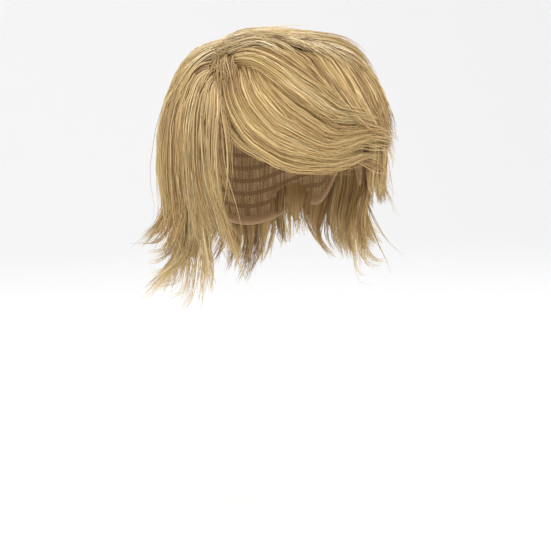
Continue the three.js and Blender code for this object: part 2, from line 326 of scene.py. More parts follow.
tone_steps = 16  # kinds of strand, from dark to pale

# How fibre lies in bunches within a lock. All but the metres are shares of a length or a width.
bunch_jitter = 0.45  # of a bunch's place across the lock
bunch_reach = (0.8, 1.04)  # how far down the loose end a bunch goes
bunch_overlap = 2.1  # how much wider a bunch is than its part of the lock
bunch_narrowing = 0.45
drift_from = 0.45  # where a frayed bunch starts to leave the lock
drift_gain = 3
lock_mottle = 0.6  # of the mottle between bunches
flick_from = 0.68  # where the end starts to turn out
flick_scale = 0.1
puff_at = 0.06  # where the roots stand highest
sparsest_bunch = 0.25  # of a layer's thinned edge, in strands
least_step = 0.002  # in metres, for measuring which way is across
nudge = 0.001  # the same for outwards
wisp_flatness = 0.4  # depth of a listed bunch, to its width

# How single strands lie in a bunch.
stray_reach = 0.008  # in metres, the farthest that one leaves it
stray_rarity = 9  # the higher, the fewer that do
stray_rise = 0.4  # how much more of them rise than sink
short_rarity = 1.5  # the same for strands shorter than the rest
wave_pace = 2.2  # waves along a strand
gather_curve = 1.6
bunch_roundness = 0.3
depth_shade = 0.1  # painted shade: strands deeper in a bunch are darker, its outer ones paler
strand_widths = (0.65, 1.25)  # in shares of the layer's
root_width = 0.6
ring_sides = 3
tip_taper = 0.85

# The plain body of hair in the middle of a lock, painted darker than the strands over it as painted
# shade.
inner_start = 0.04
inner_run = 0.74
inner_thickness = 0.4
inner_closes = (0.5, 0.8)  # where its sides draw together

# The fibre's colours, from the darkest strands to the palest, and at the root.
FIBRE = [
    (0.0, (0.18, 0.09, 0.042)),
    (0.25, (0.34, 0.2, 0.078)),
    (0.5, (0.51, 0.34, 0.13)),
    (0.75, (0.68, 0.5, 0.225)),
    (1.0, (0.86, 0.73, 0.45)),
]
root_colour = (0.17, 0.06, 0.026)
dark_root_reach = 0.36  # of the darkest strands, as a share of their length
root_strength = 0.85
tips_from = 0.35  # where the fibre starts to turn to its colour at the tip
inner_streaks = 160  # across a layer, on the plain body
inner_shade_tone = 0.18  # of its darkest streaks, darkened as painted shade inside the lock
inner_contrast = 0.46


def chance(index, lock, trait):
    """A fixed number between 0 and 1, scattered from lock to lock and from trait to trait."""
    wave = math.sin((most_locks * index + lock + TRAITS[trait]) * 12.9898) * 43758.5453
    return wave - math.floor(wave)


def to_map(turn, drop, lift):
    """Hair flows in smooth curves on a flat map of the head seen from above."""
    reach = drop if drop < 1 else 1 + (drop - 1) * hang_on_map
    angle = math.radians(turn)
    return Vector((reach * math.sin(angle), -reach * math.cos(angle), lift * hair_bulk))


def way(turn, drop, lift):
    """A line over the head, as a row of stations. turn is in degrees round the head, drop is how
    far down, 1 at its widest level, and lift how far off the cap, in shares of the hair's bulk."""
    return [to_map(*spot) for spot in zip(turn, drop, lift)]


def from_map(place, more_lift):
    reach = math.hypot(place.x, place.y)
    drop = reach if reach < 1 else 1 + (reach - 1) / hang_on_map
    turn = math.degrees(math.atan2(place.x, -place.y))
    fall = max(drop - 1, 0) * hair_drop
    lift = cap_wall + seam_gap + place.z + more_lift
    return near_head(turn, min(drop, 1) * math.pi / 2, lift, fall)


def along(places, share):
    """A smooth curve through a row of places, at a share of its length."""
    if len(places) == 2:
        return places[0].lerp(places[1], share)
    spans = len(places) - 1
    i = min(max(math.floor(share * spans), 0), spans - 1)
    t = share * spans - i
    before = places[i - 1] if i > 0 else 2 * places[0] - places[1]
    beyond = places[i + 2] if i + 2 <= spans else 2 * places[spans] - places[spans - 1]
    leave = (places[i + 1] - before) / 2
    arrive = (beyond - places[i]) / 2
    return (
        places[i] * (2 * t**3 - 3 * t**2 + 1)
        + leave * (t**3 - 2 * t**2 + t)
        + places[i + 1] * (3 * t**2 - 2 * t**3)
        + arrive * (t**3 - t**2)
    )


class Layer:
    """One layer of hair: the lines that it follows, and how its locks share the way across."""

    def __init__(self, name, index, locks, rows):
        self.name = name
        self.index = index
        self.locks = locks
        self.rows = rows
        self.edges = []
        for i in range(locks + 1):
            shift = width_scatter * (chance(index, i, "width") - 0.5) if 0 < i < locks else 0
            self.edges.append((i + shift) / locks)

    def place(self, across, share, more_lift):
        stations = [along([row[k] for row in self.rows], across) for k in range(len(self.rows[0]))]
        return from_map(along(stations, share), more_lift)

    def lock(self, lock, share):
        """Where a lock is at a share of its length: how far along, middle, half width and toss."""
        loose = max(share - loose_from, 0) / (1 - loose_from)
        length = shortest_lock + (1 - shortest_lock) * chance(self.index, lock, "length")
        at = loose_from + (share - loose_from) * length if loose > 0 else share
        width = self.edges[lock + 1] - self.edges[lock]
        lean = loose**2 * tip_lean_share * (2 * chance(self.index, lock, "lean") - 1)
        middle = (self.edges[lock] + self.edges[lock + 1]) / 2 + lean * width
        half = width / 2 * (1 - (1 - tip_width_share) * loose**tip_roundness)
        toss = loose**2 * tip_toss * (chance(self.index, lock, "toss") - tucked_tips)
        return at, middle, half, toss


def lock_lines(layer, strands, bunches, points, fray, flick, puff, fill, mottle, sparse_edge,
               far_side_shade, wisps):
    """A line down the middle of each bunch of fibre in each lock, with its half width and depth."""
    dice = random.Random(layer.index + 7)
    mesh = bpy.data.meshes.new(layer.name + "_lines")
    places, edges, aside, outward, tone, count = [], [], [], [], [], []
    for lock in range(layer.locks):
        lock_tone = dice.gauss(0, lock_mottle * mottle)
        for bunch in range(bunches):
            seat = (bunch + 0.5 + dice.uniform(-bunch_jitter, bunch_jitter)) / bunches * 2 - 1
            reach = dice.uniform(*bunch_reach)
            drift = dice.gauss(0, fray)
            rise = flick * dice.uniform(-0.3, 1)
            bunch_tone = lock_tone + dice.gauss(0, mottle)
            # Painted shade across the layer: the tone changes from its first locks to its last.
            bunch_tone += far_side_shade * (layer.edges[lock] - 0.5)
            bunch_strands = strands
            if lock == 0 and sparse_edge:
                bunch_strands = round(strands * (sparsest_bunch + 0.6 * bunch / bunches))
                drift += dice.uniform(-1, 0)
            for k in range(points):
                share = k / (points - 1)
                at, middle, half, toss = layer.lock(lock, share)
                at = min(at, loose_from) + max(at - loose_from, 0) * reach
                late = max(share - drift_from, 0) ** 2 * drift_gain
                full = (layer.edges[lock + 1] - layer.edges[lock]) / 2
                half += (full - half) * fill
                across = middle + half * seat + full * drift * late
                spread = half / bunches * bunch_overlap * (1 - bunch_narrowing * share**2)
                thick = lock_thickness * eased(LOCK_BODY, share)
                thick *= 1 - (1 - valley_share) * min(abs(seat), 1) ** 1.5
                root = puff * share / puff_at * math.exp(1 - share / puff_at)
                turned = max(share - flick_from, 0) ** 2 / flick_scale
                lift = toss + 0.45 * thick + root + rise * turned
                places.append(layer.place(across, at, lift))
                step = max(spread, least_step)
                side = layer.place(across + step, at, lift) - layer.place(across - step, at, lift)
                aside.extend(side / 2 * (spread / step))
                out = layer.place(across, at, lift + nudge) - layer.place(across, at, lift)
                outward.extend(out.normalized() * 0.5 * thick)
                tone.append(bunch_tone)
                count.append(bunch_strands)
                if k:
                    edges.append((len(places) - 2, len(places) - 1))
    for extra in wisps:
        row = [along(extra["way"], k / (points - 1)) for k in range(points)]
        for k, place in enumerate(row):
            places.append(from_map(place, 0))
            ahead = from_map(row[min(k + 1, points - 1)], 0) - from_map(row[max(k - 1, 0)], 0)
            out = (from_map(place, nudge) - from_map(place, 0)).normalized()
            aside.extend(ahead.cross(out).normalized() * extra["spread"])
            outward.extend(out * wisp_flatness * extra["spread"])
            tone.append(extra["tone"])
            count.append(extra["strands"])
            if k:
                edges.append((len(places) - 2, len(places) - 1))
    mesh.from_pydata(places, edges, [])
    for name, kind, values in (
        ("aside", "FLOAT_VECTOR", aside),
        ("outward", "FLOAT_VECTOR", outward),
        ("tone", "FLOAT", tone),
        ("count", "FLOAT", count),
    ):
        attribute = mesh.attributes.new(name, kind, "POINT")
        attribute.data.foreach_set("value" if kind == "FLOAT" else "vector", values)
    piece = bpy.data.objects.new(layer.name + "_strands", mesh)
    bpy.context.collection.objects.link(piece)
    return piece


def strands_tree():
    """Nodes that lay each line's count of fine strands along it, gathered towards its tip."""
    tree = bpy.data.node_groups.new("strands along a lock", "GeometryNodeTree")
    tree.interface.new_socket("Lines", in_out="INPUT", socket_type="NodeSocketGeometry")
    kinds = {"Seed": "Int", "Fibre": "Material"}
    for name in ("Width", "Shortest", "Gather", "Wander", "Tone", "Scatter", "Seed", "Fibre"):
        kind = "NodeSocket" + kinds.get(name, "Float")
        tree.interface.new_socket(name, in_out="INPUT", socket_type=kind)
    tree.interface.new_socket("Hair", in_out="OUTPUT", socket_type="NodeSocketGeometry")
    group = tree.nodes.new("NodeGroupInput")
    given = {s.name: Wire(tree, s) for s in group.outputs if s.name}
    start = Wire(tree)

    def each_strand(salt, low=0.0, high=1.0):
        """A number that is the same all along one strand, and differs between strands."""
        number = start.add(
            "FunctionNodeRandomValue",
            {"data_type": "FLOAT"},
            {2: low, 3: high, 8: given["Seed"] + salt},
            output=1,
        )
        return start.add(
            "GeometryNodeFieldOnDomain", {"data_type": "FLOAT", "domain": "CURVE"}, {0: number}
        )

    def named(name, kind):
        return start.add("GeometryNodeInputNamedAttribute", {"data_type": kind}, {"Name": name})

    def waves(salt):
        """A slow drift along the strand, between about -0.5 and 0.5."""
        return start.add(
            "ShaderNodeTexNoise",
            {"noise_dimensions": "1D"},
            {"W": share * wave_pace + each_strand(salt, 0, 90), "Scale": 1.0, "Detail": 0.0},
        ) - 0.5

    lines = start.add("GeometryNodeMeshToCurve", {}, {"Mesh": given["Lines"]})
    strands = start.add(
        "GeometryNodeDuplicateElements",
        {"domain": "SPLINE"},
        {"Geometry": lines, "Amount": named("count", "FLOAT")},
    )
    share = start.add("GeometryNodeSplineParameter")
    aside = named("aside", "FLOAT_VECTOR")
    outward = named("outward", "FLOAT_VECTOR")
    aside_way = start.add("ShaderNodeVectorMath", {"operation": "NORMALIZE"}, {0: aside})
    outward_way = start.add("ShaderNodeVectorMath", {"operation": "NORMALIZE"}, {0: outward})
    seat = each_strand(1, -1, 1)
    depth = each_strand(2, -1, 1)
    narrowed = 1 - given["Gather"] * share**gather_curve
    flattened = 1 - bunch_roundness * seat * seat
    offset = aside * (seat * narrowed) + outward * (depth * flattened)
    offset = offset + aside_way * (waves(3) * given["Wander"] * share)
    offset = offset + outward_way * (waves(4) * given["Wander"] * share)
    away = stray_reach * each_strand(5) ** stray_rarity * share**2
    heading = each_strand(6, 0, math.tau)
    offset = offset + aside_way * (away * heading.cosine())
    offset = offset + outward_way * (away * (heading.sine() + stray_rise))
    strands = start.add("GeometryNodeSetPosition", {}, {"Geometry": strands, "Offset": offset})
    strands = start.add(
        "GeometryNodeTrimCurve",
        {"mode": "FACTOR"},
        {0: strands, 2: 0.0, 3: 1 - (1 - given["Shortest"]) * each_strand(7) ** short_rarity},
    )
    tone = named("tone", "FLOAT") + given["Tone"] + given["Scatter"] * each_strand(8, -1, 1)
    # Painted shade: a strand is darker the deeper it lies in its bunch.
    tone = tone + depth_shade * depth
    tone = start.add("ShaderNodeClamp", {}, {"Value": tone, "Min": 0.0, "Max": 0.999})
    for name, value in (("along", share), ("level", (tone * tone_steps).whole())):
        strands = start.add(
            "GeometryNodeStoreNamedAttribute",
            {"data_type": "FLOAT", "domain": "POINT"},
            {"Geometry": strands, "Name": name, "Value": value},
        )
    ring = start.add("GeometryNodeCurvePrimitiveCircle", {"mode": "RADIUS"}, {0: ring_sides, 4: 1.0})
    ring_at = start.add("GeometryNodeSplineParameter", output=2)
    ring = start.add(
        "GeometryNodeStoreNamedAttribute",
        {"data_type": "FLOAT", "domain": "POINT"},
        {"Geometry": ring, "Name": "around", "Value": ring_at / ring_sides},
    )
    root_taper = root_width + (1 - root_width) * share.between(0.0, 0.12)
    taper = (1 - tip_taper * share**2.5) * root_taper
    width = given["Width"] * each_strand(9, *strand_widths) * taper / 2
    hair = start.add(
        "GeometryNodeCurveToMesh",
        {},
        {"Curve": strands, "Profile Curve": ring, "Scale": width, "Fill Caps": True},
    )
    corners = start.add("GeometryNodeInputMeshFaceNeighbors")
    corner = start.add("GeometryNodeFaceOfCorner", output=1)
    # On the texture map each strand is a strip within its tone's band, clear of the band's edges.
    # One corner of each end face is set off, so that the face isn't a point there.
    at_end = (corners < 3.5) * (corner > 0.5) * (corner < 1.5)
    u = named("along", "FLOAT") * 0.96 + 0.01 + at_end * 0.01
    v = (named("level", "FLOAT") + 0.1 + named("around", "FLOAT") * 0.8) / tone_steps
    hair = start.add(
        "GeometryNodeStoreNamedAttribute",
        {"data_type": "FLOAT2", "domain": "CORNER"},
        {
            "Geometry": hair,
            "Name": "OFBake",
            "Value": start.add("ShaderNodeCombineXYZ", {}, {"X": u, "Y": v}),
        },
    )
    hair = start.add("GeometryNodeSetShadeSmooth", {}, {0: hair})
    hair = start.add("GeometryNodeRealizeInstances", {}, {0: hair})
    hair = start.add("GeometryNodeSetMaterial", {}, {0: hair, "Material": given["Fibre"]})
    end = tree.nodes.new("NodeGroupOutput")
    tree.links.new(hair.socket, end.inputs["Hair"])
    return tree


def place_on(start, uv_map):
    spot = start.add("ShaderNodeUVMap", {"uv_map": uv_map})
    return [start.add("ShaderNodeSeparateXYZ", {}, {0: spot}, output=k) for k in (0, 1)]


def fibre_material(name, root_reach, painted_shade, warmth, tip_tone):
    """Blond fibre, coloured by how far along a strand and by which of the tone steps it is."""
    material, shader, start = plain_material(name, 0.48)
    u, v = place_on(start, "OFBake")
    tone = (v * tone_steps).whole() / (tone_steps - 1)
    to_tip = u.between(tips_from, 1.0)
    lift = tone * 0.92 + 0.02 + tip_tone * to_tip
    warmth = warmth + (1 - warmth) * to_tip
    # Painted shade: the tone is scaled down for layers that lie in shade.
    body = start.add("ShaderNodeValToRGB", {"stops": FIBRE}, {"Fac": lift * painted_shade})
    body = start.add("ShaderNodeHueSaturation", {}, {"Saturation": warmth, "Color": body})
    reach = dark_root_reach - (dark_root_reach - root_reach) * tone.between(0.15, 0.6)
    at_root = 1 - u.between(0.0, reach)
    colour_by(shader, (at_root * root_strength).mix(body, root_colour))
    shader.inputs["Specular IOR Level"].default_value = 0.45
    return material


def inner_material(name, painted_shade):
    """The mass of fibre in the middle of each lock, streaked along it and painted darker than the
    strands on top, as painted shade.
    """
    material, shader, start = plain_material(name, 0.55)
    u, v = place_on(start, "lock")
    lay = start.add("ShaderNodeCombineXYZ", {}, {"X": u * inner_streaks, "Y": v * 2})
    # Painted shade: the inner body's fibre is kept darker than the strands over it.
    lift = (inner_shade_tone + inner_contrast * noise_over(lay, 2.0)) * painted_shade
    body = start.add("ShaderNodeValToRGB", {"stops": FIBRE}, {"Fac": lift})
    colour_by(shader, (1 - v.between(0.0, 0.14)).mix(body, root_colour))
    return material


STRANDS_TREE = strands_tree()


def inner_locks(layer, material, sparse_edge):
    """A flat closed body in the middle of each lock, a little narrower and shorter than it."""
    rows, sides = 16, 8
    places, faces, spots = [], [], []
    for lock in range(1 if sparse_edge else 0, layer.locks):
        first = len(places)
        for r in range(rows):
            share = inner_start + inner_run * r / (rows - 1)
            at, middle, half, toss = layer.lock(lock, share)
            thick = lock_thickness * eased(LOCK_BODY, share) * inner_thickness
            close = 1 - smooth_step(share, *inner_closes) * 0.9
            for s in range(sides):
                angle = math.tau * s / sides
                across = middle + half * 1.06 * close * math.cos(angle)
                lift = toss + thick * (0.55 + 0.45 * close * math.sin(angle))
                places.append(layer.place(across, at, lift))
                spots.append((across, share))
        for r in range(rows - 1):
            for s in range(sides):
                a = first + r * sides + s
                b = first + r * sides + (s + 1) % sides
                faces.append([a, b, b + sides, a + sides])
        faces.append([first + s for s in range(sides)][::-1])
        faces.append([first + (rows - 1) * sides + s for s in range(sides)])
    piece = shown_mesh(layer.name + "_inner_locks", places, faces, material)
    marks = piece.data.uv_layers.new(name="lock")
    for corner in piece.data.loops:
        marks.data[corner.index].uv = spots[corner.vertex_index]
    return piece


def dress(layer, strands, bunches=5, points=11, width=0.00095, gather=0.5, wander=0.009,
          fray=0.3, flick=0.005, puff=0.0, fill=0.4, mottle=0.12, tone=0.47, scatter=0.3,
          painted_shade=1.0, warmth=1.0, root_reach=0.08, tip_tone=0.1, shortest=0.72,
          sparse_edge=False, far_side_shade=0.0, wisps=()):
    """Makes a layer's strands and the inner body of its locks, and puts them in place of it.

    A lock holds some bunches, and each of them so many strands of the given width, bent at so many
    points. gather draws a bunch together at its tip, wander sends its strands astray, and fray whole
    bunches. flick turns the ends out, puff lifts the roots, and fill widens the locks till they meet.
    tone is how pale the fibre is. mottle and scatter are how far that differs between bunches and
    strands, and tip_tone what it gains to the tips. far_side_shade is painted shade that changes the
    tone across the layer, from its first locks to its last, and painted_shade is painted shade that
    darkens the whole layer.
    """
    lines = lock_lines(
        layer, strands, bunches, points, fray, flick, puff, fill, mottle, sparse_edge, far_side_shade,
        wisps,
    )
    modifier = lines.modifiers.new("strands", "NODES")
    modifier.node_group = STRANDS_TREE
    values = {
        "Width": width,
        "Shortest": shortest,
        "Gather": gather,
        "Wander": wander,
        "Tone": tone,
        "Scatter": scatter,
        "Seed": 100 * layer.index,
        "Fibre": fibre_material(layer.name + " fibre", root_reach, painted_shade, warmth, tip_tone),
    }
    for item in STRANDS_TREE.interface.items_tree:
        if item.item_type == "SOCKET" and item.name in values:
            modifier[item.identifier] = values[item.name]
    bpy.context.view_layer.update()
    seen = lines.evaluated_get(bpy.context.evaluated_depsgraph_get())
    mesh = bpy.data.meshes.new_from_object(seen)
    for name in ("aside", "outward", "tone", "count", "along", "level", "around"):
        if name in mesh.attributes:
            mesh.attributes.remove(mesh.attributes[name])
    lines.modifiers.clear()
    lines.data = mesh
    inner = inner_locks(layer, inner_material(layer.name + " inner fibre", painted_shade), sparse_edge)
    for piece in (inner, lines):
        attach(piece, "root")
        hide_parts(layer.name)


nape_hair = Layer("nape_hair", 0, 9, [
    way([120, 120, 121, 118], [1.02, 1.3, 1.6, 1.92], [0, 0, -0.3, 0.7]),
    way([180, 180, 180, 180], [1.02, 1.3, 1.6, 1.98], [0, -0.05, -0.5, 0.5]),
    way([240, 240, 239, 243], [1.02, 1.3, 1.6, 2], [0, 0, -0.3, 0.8]),
])
dress(nape_hair, strands=18, flick=0.02, fray=0.5, fill=0.5, painted_shade=0.85)


# Right under hair. The long under layer at the wearer's right, sewn on just above the cap's
# widest level. Its thinned ends flick out lowest of all.
def wisp(strands, spread, tone, turn, drop, lift):
    """A listed bunch laid over the locks: how many strands, half its width in metres, how much paler it
    is than its layer, and the way that it takes over the head."""
    return {"strands": strands, "spread": spread, "tone": tone, "way": way(turn, drop, lift)}


right_under_hair = Layer("right_under_hair", 1, 8, [
    way([-122, -122, -123, -127], [0.86, 1.15, 1.6, 2.04], [0, 0.25, 0.1, 0.9]),
    way([-92, -92, -94, -99], [0.86, 1.15, 1.55, 1.92], [0, 0.25, 0.1, 0.95]),
    way([-66, -64, -63, -56], [0.9, 1.15, 1.48, 1.8], [0, 0.15, 0.1, 0.35]),
])
dress(right_under_hair, strands=20, bunches=6, points=13, gather=0.3, flick=0.015, fray=0.7,
      fill=0.7, tone=0.57, shortest=0.6, wisps=[
    # Flicked ends, from the back to the front.
    wisp(20, 0.006, 0.1, [-90, -91, -92, -94], [1.25, 1.54, 1.71, 1.74], [0.05, 0.34, 0.7, 1.35]),
    wisp(20, 0.006, 0.0, [-86, -87, -88, -90], [1.25, 1.57, 1.77, 1.81], [0.05, 0.3, 0.58, 1.2]),
    wisp(18, 0.006, 0.1, [-82, -82, -83, -84], [1.25, 1.6, 1.82, 1.88], [0.05, 0.24, 0.42, 0.95]),
    wisp(18, 0.006, 0.0, [-78, -78, -78, -79], [1.25, 1.6, 1.84, 1.95], [0.05, 0.18, 0.35, 0.6]),
    wisp(18, 0.006, 0.1, [-73, -72, -72, -72], [1.25, 1.6, 1.8, 1.93], [0.05, 0.1, 0.15, 0.3]),
    wisp(18, 0.006, 0.0, [-68, -67, -66, -64], [1.35, 1.56, 1.72, 1.84], [0.2, 0.1, 0.1, 0.2]),
])


# Left under hair. A thin under layer at the wearer's left, in front of and behind the ear, sewn
# on just above the cap's widest level. Single strands stray from it over the cheek.
left_under_hair = Layer("left_under_hair", 2, 7, [
    way([66, 56, 48, 52], [0.92, 1.14, 1.4, 1.66], [0, 0.05, -0.1, 0.1]),
    way([92, 90, 90, 96], [0.88, 1.14, 1.45, 1.72], [0, 0.15, -0.1, 0.55]),
    way([120, 120, 121, 124], [0.86, 1.16, 1.52, 1.86], [0, 0.15, 0, 0.7]),
])
dress(left_under_hair, strands=22, flick=0.008, fray=0.4, fill=0.3, painted_shade=0.85, wisps=[
    # Single strands over the cheek.
    wisp(2, 0.002, -0.1, [66, 70, 64, 62], [0.95, 1.1, 1.25, 1.42], [0.2, 0.5, 0.9, 1.4]),
    wisp(2, 0.002, -0.1, [60, 62, 58, 60], [1.1, 1.3, 1.5, 1.64], [0.1, 0.2, 0.8, 1.5]),
    wisp(3, 0.002, 0.1, [70, 66, 60, 57], [1.1, 1.3, 1.52, 1.72], [0.1, 0.1, 0.5, 0.9]),
    # Ends that turn out in front of the ear.
    wisp(16, 0.005, 0.15, [70, 66, 64, 66, 70], [1.15, 1.38, 1.55, 1.64, 1.66],
         [0.1, 0, 0.05, 0.35, 0.8]),
    wisp(16, 0.005, 0.1, [62, 58, 55, 57, 60], [1.15, 1.4, 1.56, 1.66, 1.67],
         [0.05, -0.05, -0.05, 0.2, 0.6]),
    wisp(12, 0.005, 0.2, [56, 52, 48, 48, 52], [1.2, 1.4, 1.58, 1.7, 1.71], [0, -0.1, -0.1, 0.05, 0.4]),
])


# Back hair. The main layer at the back, of the same fibre, sewn to the cap in rows from the crown
# down. It covers the nape hair's roots, and its ends are cut in steps.
back_hair = Layer("back_hair", 3, 12, [
    way([116, 118, 120, 118], [0.48, 0.85, 1.2, 1.52], [0, 0.5, 0.5, 1]),
    way([148, 150, 151, 151], [0.42, 0.85, 1.2, 1.6], [0, 0.5, 0.45, 0.95]),
    way([180, 180, 180, 180], [0.42, 0.85, 1.2, 1.64], [0, 0.5, 0.35, 0.9]),
    way([212, 210, 209, 209], [0.4, 0.85, 1.2, 1.6], [0, 0.5, 0.45, 0.95]),
    way([240, 240, 238, 240], [0.44, 0.85, 1.2, 1.56], [0, 0.5, 0.45, 1.1]),
])
dress(back_hair, strands=20, bunches=6, gather=0.4, fill=0.5)


# Left side hair. The layer over the wearer's left ear, sewn on under the ends of the sweep and
# cut shorter than the under layer.
left_side_hair = Layer("left_side_hair", 4, 8, [
    way([50, 44, 38, 37], [0.56, 0.8, 1.02, 1.22], [0, 0.38, 0.38, 0.3]),
    way([68, 66, 65, 66], [0.5, 0.78, 1.05, 1.3], [0, 0.46, 0.52, 0.5]),
    way([92, 92, 93, 94], [0.48, 0.78, 1.08, 1.38], [0, 0.5, 0.58, 0.62]),
    way([119, 119, 119, 117], [0.48, 0.8, 1.14, 1.48], [0, 0.5, 0.52, 0.9]),
])
dress(left_side_hair, strands=22, bunches=7, gather=0.3, fray=0.5, fill=0.6, tone=0.4, painted_shade=0.92)


# Right side hair. The full layer that falls from the parting over the right ear. Its long ends
# are cut in steps and flick out wide over the under layer.
right_side_hair = Layer("right_side_hair", 5, 12, [
    way([-130, -142, -136, -122, -116, -119], [0.165, 0.33, 0.62, 1, 1.34, 1.6],
        [0, 0.55, 0.64, 0.74, 0.62, 1.4]),
    way([-97, -104, -105, -103, -102, -106], [0.3, 0.44, 0.7, 1.02, 1.35, 1.62],
        [0, 0.56, 0.64, 0.74, 0.6, 1.5]),
    way([-75, -81, -82, -81, -79, -80], [0.44, 0.56, 0.76, 1.02, 1.34, 1.66],
        [0, 0.48, 0.6, 0.68, 0.56, 1]),
    way([-60, -56, -51, -50, -45, -31], [0.56, 0.65, 0.8, 1, 1.3, 1.72],
        [0, 0.34, 0.46, 0.46, 0.4, 0.2]),
])
dress(right_side_hair, strands=20, points=14, bunches=7, flick=0.008, fray=0.6, puff=0.004,
      fill=0.5, tone=0.42, warmth=0.94, root_reach=0.1, shortest=0.6, wisps=[
    # Wide flicks over the under layer.
    wisp(20, 0.006, 0.1, [-98, -99, -100, -101], [1.15, 1.37, 1.47, 1.49], [0.3, 0.66, 1.02, 1.48]),
    wisp(20, 0.006, 0.0, [-104, -104, -104, -104], [1.2, 1.44, 1.54, 1.56], [0.3, 0.62, 0.98, 1.46]),
    wisp(20, 0.006, 0.1, [-92, -93, -94, -95], [1.2, 1.46, 1.57, 1.6], [0.3, 0.56, 0.9, 1.42]),
    wisp(20, 0.006, 0.1, [-98, -98, -99, -100], [1.25, 1.52, 1.64, 1.67], [0.25, 0.5, 0.86, 1.42]),
    # Thin strands in front of the layer's edge.
    wisp(6, 0.004, 0.1, [-50, -46, -39, -32], [1.2, 1.42, 1.6, 1.76], [0.35, 0.3, 0.25, 0.2]),
    wisp(8, 0.004, 0.1, [-58, -51, -45, -44, -46, -44], [0.58, 0.74, 0.9, 1.08, 1.26, 1.42],
         [0.25, 0.48, 0.54, 0.5, 0.45, 0.4]),
    wisp(8, 0.004, 0.0, [-58, -53, -48, -42, -38, -38], [0.6, 0.8, 1, 1.2, 1.4, 1.55],
         [0.25, 0.46, 0.5, 0.46, 0.4, 0.36]),
    # Long bunches that swing back and then forward.
    wisp(18, 0.005, 0.14, [-60, -61, -57, -53, -46, -36], [0.52, 0.68, 0.9, 1.12, 1.34, 1.5],
         [0.3, 0.62, 0.72, 0.68, 0.56, 0.45]),
    wisp(18, 0.005, -0.1, [-64, -66, -63, -60, -54, -44], [0.5, 0.68, 0.93, 1.16, 1.4, 1.58],
         [0.3, 0.68, 0.78, 0.74, 0.6, 0.46]),
    wisp(18, 0.005, 0.14, [-70, -73, -71, -69, -64, -54], [0.5, 0.72, 0.98, 1.22, 1.48, 1.68],
         [0.3, 0.74, 0.84, 0.8, 0.64, 0.5]),
    wisp(18, 0.005, -0.06, [-80, -84, -84, -83, -79, -70], [0.5, 0.74, 1, 1.26, 1.52, 1.72],
         [0.3, 0.82, 0.9, 0.86, 0.7, 0.6]),
    wisp(18, 0.005, 0.14, [-90, -95, -95, -94, -90, -84], [0.5, 0.74, 1, 1.24, 1.48, 1.66],
         [0.3, 0.86, 0.94, 0.9, 0.76, 0.72]),
    # Pale streaks over the roots.
    wisp(10, 0.004, 0.1, [-68, -67, -66, -66], [0.47, 0.57, 0.67, 0.8], [0.35, 0.62, 0.7, 0.68]),
    wisp(10, 0.004, 0.1, [-76, -78, -79, -79], [0.44, 0.54, 0.65, 0.8], [0.38, 0.7, 0.8, 0.8]),
    wisp(10, 0.004, 0.12, [-86, -89, -91, -92], [0.38, 0.5, 0.62, 0.78], [0.4, 0.74, 0.86, 0.88]),
    # Hair that closes the end of the parting.
    wisp(24, 0.006, -0.06, [-73, -65, -58, -52], [0.34, 0.43, 0.54, 0.68], [0.3, 0.5, 0.5, 0.44]),
    wisp(24, 0.006, -0.06, [-64, -56, -49, -42], [0.36, 0.46, 0.56, 0.68], [0.3, 0.52, 0.52, 0.46]),
    wisp(24, 0.006, -0.06, [-78, -71, -67, -64], [0.33, 0.42, 0.53, 0.66], [0.3, 0.5, 0.54, 0.5]),
])


# Fringe. Long thinned hair from the front of the parting, swept down over the forehead and up
# again to the left temple.
fringe = Layer("fringe", 6, 10, [
    way([-62, -51, -42, -29, -8, 18, 50], [0.52, 0.69, 0.83, 0.94, 1.01, 1, 1],
        [0, 0.3, 0.36, 0.4, 0.42, 0.5, 0.8]),
    way([-53, -42, -36, -28, -14, 10, 52], [0.43, 0.52, 0.65, 0.77, 0.88, 0.95, 0.98],
        [0, 0.26, 0.36, 0.42, 0.46, 0.56, 0.84]),
    way([-42, -26, -17, -9, 2, 18, 55], [0.38, 0.45, 0.55, 0.65, 0.76, 0.86, 0.94],
        [0, 0.24, 0.36, 0.44, 0.5, 0.62, 0.88]),
])
# The fringe's long dark roots are partly the fibre's own dark roots and partly painted shade under the
# edge of the sweep.
dress(fringe, strands=20, points=17, bunches=7, width=0.00085, gather=0.25, wander=0.013,
      puff=0.003, mottle=0.04, scatter=0.26, root_reach=0.36, sparse_edge=True, tone=0.45, wisps=[
    # Darker hair from the end of the parting.
    wisp(14, 0.007, -0.16, [-66, -58, -49, -38], [0.42, 0.58, 0.76, 0.9], [0.3, 0.5, 0.46, 0.42]),
    wisp(14, 0.007, -0.16, [-57, -49, -41, -31], [0.42, 0.54, 0.7, 0.84], [0.3, 0.5, 0.48, 0.46]),
    wisp(14, 0.006, -0.16, [-46, -38, -30, -20], [0.42, 0.5, 0.63, 0.76], [0.3, 0.48, 0.5, 0.48]),
    # A thin veil along the lower edge.
    wisp(12, 0.007, 0.0, [-63, -56, -50, -39, -20, 6, 32], [0.54, 0.7, 0.82, 0.91, 0.97, 0.99, 0.98],
         [0.05, 0.26, 0.32, 0.34, 0.38, 0.46, 0.6]),
    wisp(12, 0.007, 0.1, [-63, -54, -47, -34, -12, 14, 38], [0.54, 0.69, 0.82, 0.92, 0.99, 1, 0.98],
         [0.05, 0.28, 0.34, 0.36, 0.4, 0.5, 0.68]),
    # Strands that cross the ends of the sweep at the temple.
    wisp(12, 0.005, -0.05, [10, 20, 32, 43, 50, 53], [0.96, 0.97, 0.99, 1.02, 1.07, 1.13],
         [0.5, 0.55, 0.66, 0.8, 0.86, 0.84]),
    wisp(10, 0.004, 0.2, [14, 24, 36, 48, 56, 62], [0.92, 0.93, 0.94, 0.96, 1, 1.05],
         [0.6, 0.68, 0.8, 0.94, 0.96, 0.92]),
    wisp(10, 0.004, 0.2, [12, 22, 34, 46, 55, 62], [0.86, 0.88, 0.9, 0.91, 0.92, 0.95],
         [0.72, 0.78, 0.86, 0.98, 1.02, 0.98]),
])


